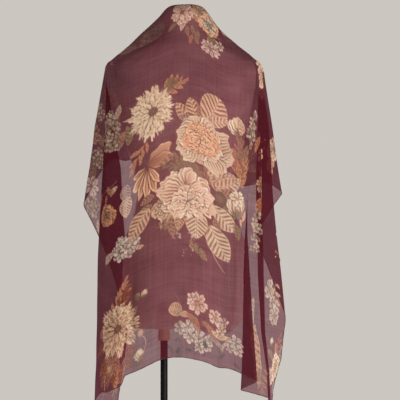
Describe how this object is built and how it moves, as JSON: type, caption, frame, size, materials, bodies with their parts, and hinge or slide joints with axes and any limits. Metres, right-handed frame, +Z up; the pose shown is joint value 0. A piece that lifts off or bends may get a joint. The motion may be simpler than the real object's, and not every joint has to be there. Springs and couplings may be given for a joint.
{
  "type": "chiffon scarf on a dress form with a stand",
  "caption": "Square printed chiffon scarf draped like a shawl over the neck and shoulders of a limbless dress form on a round-based post.",
  "frame": {"origin": "centre of the underside of the round base, on the axis of the post", "axes": "+Z up, +Y toward the front of the form (its chest), -Y toward its back, which the closed side of the scarf covers, +X to the right of somebody who looks at the back"},
  "size_m": [0.4958, 0.32, 1.4618],
  "materials": {
    "scarf_chiffon": "sheer printed chiffon, burgundy ground with flowers and leaves",
    "form_skin": "smooth matte beige",
    "flange_skin": "smooth matte beige",
    "post_paint": "satin black",
    "base_paint": "satin black"
  },
  "bodies": {
    "root": {"scarf_back": "scarf_chiffon", "scarf_side_left": "scarf_chiffon", "scarf_side_right": "scarf_chiffon", "scarf_front_left": "scarf_chiffon", "scarf_front_right": "scarf_chiffon", "form_torso": "form_skin", "form_flange": "flange_skin", "post": "post_paint", "base_hub": "base_paint", "base_plate": "base_paint"}
  },
  "joints": []
}
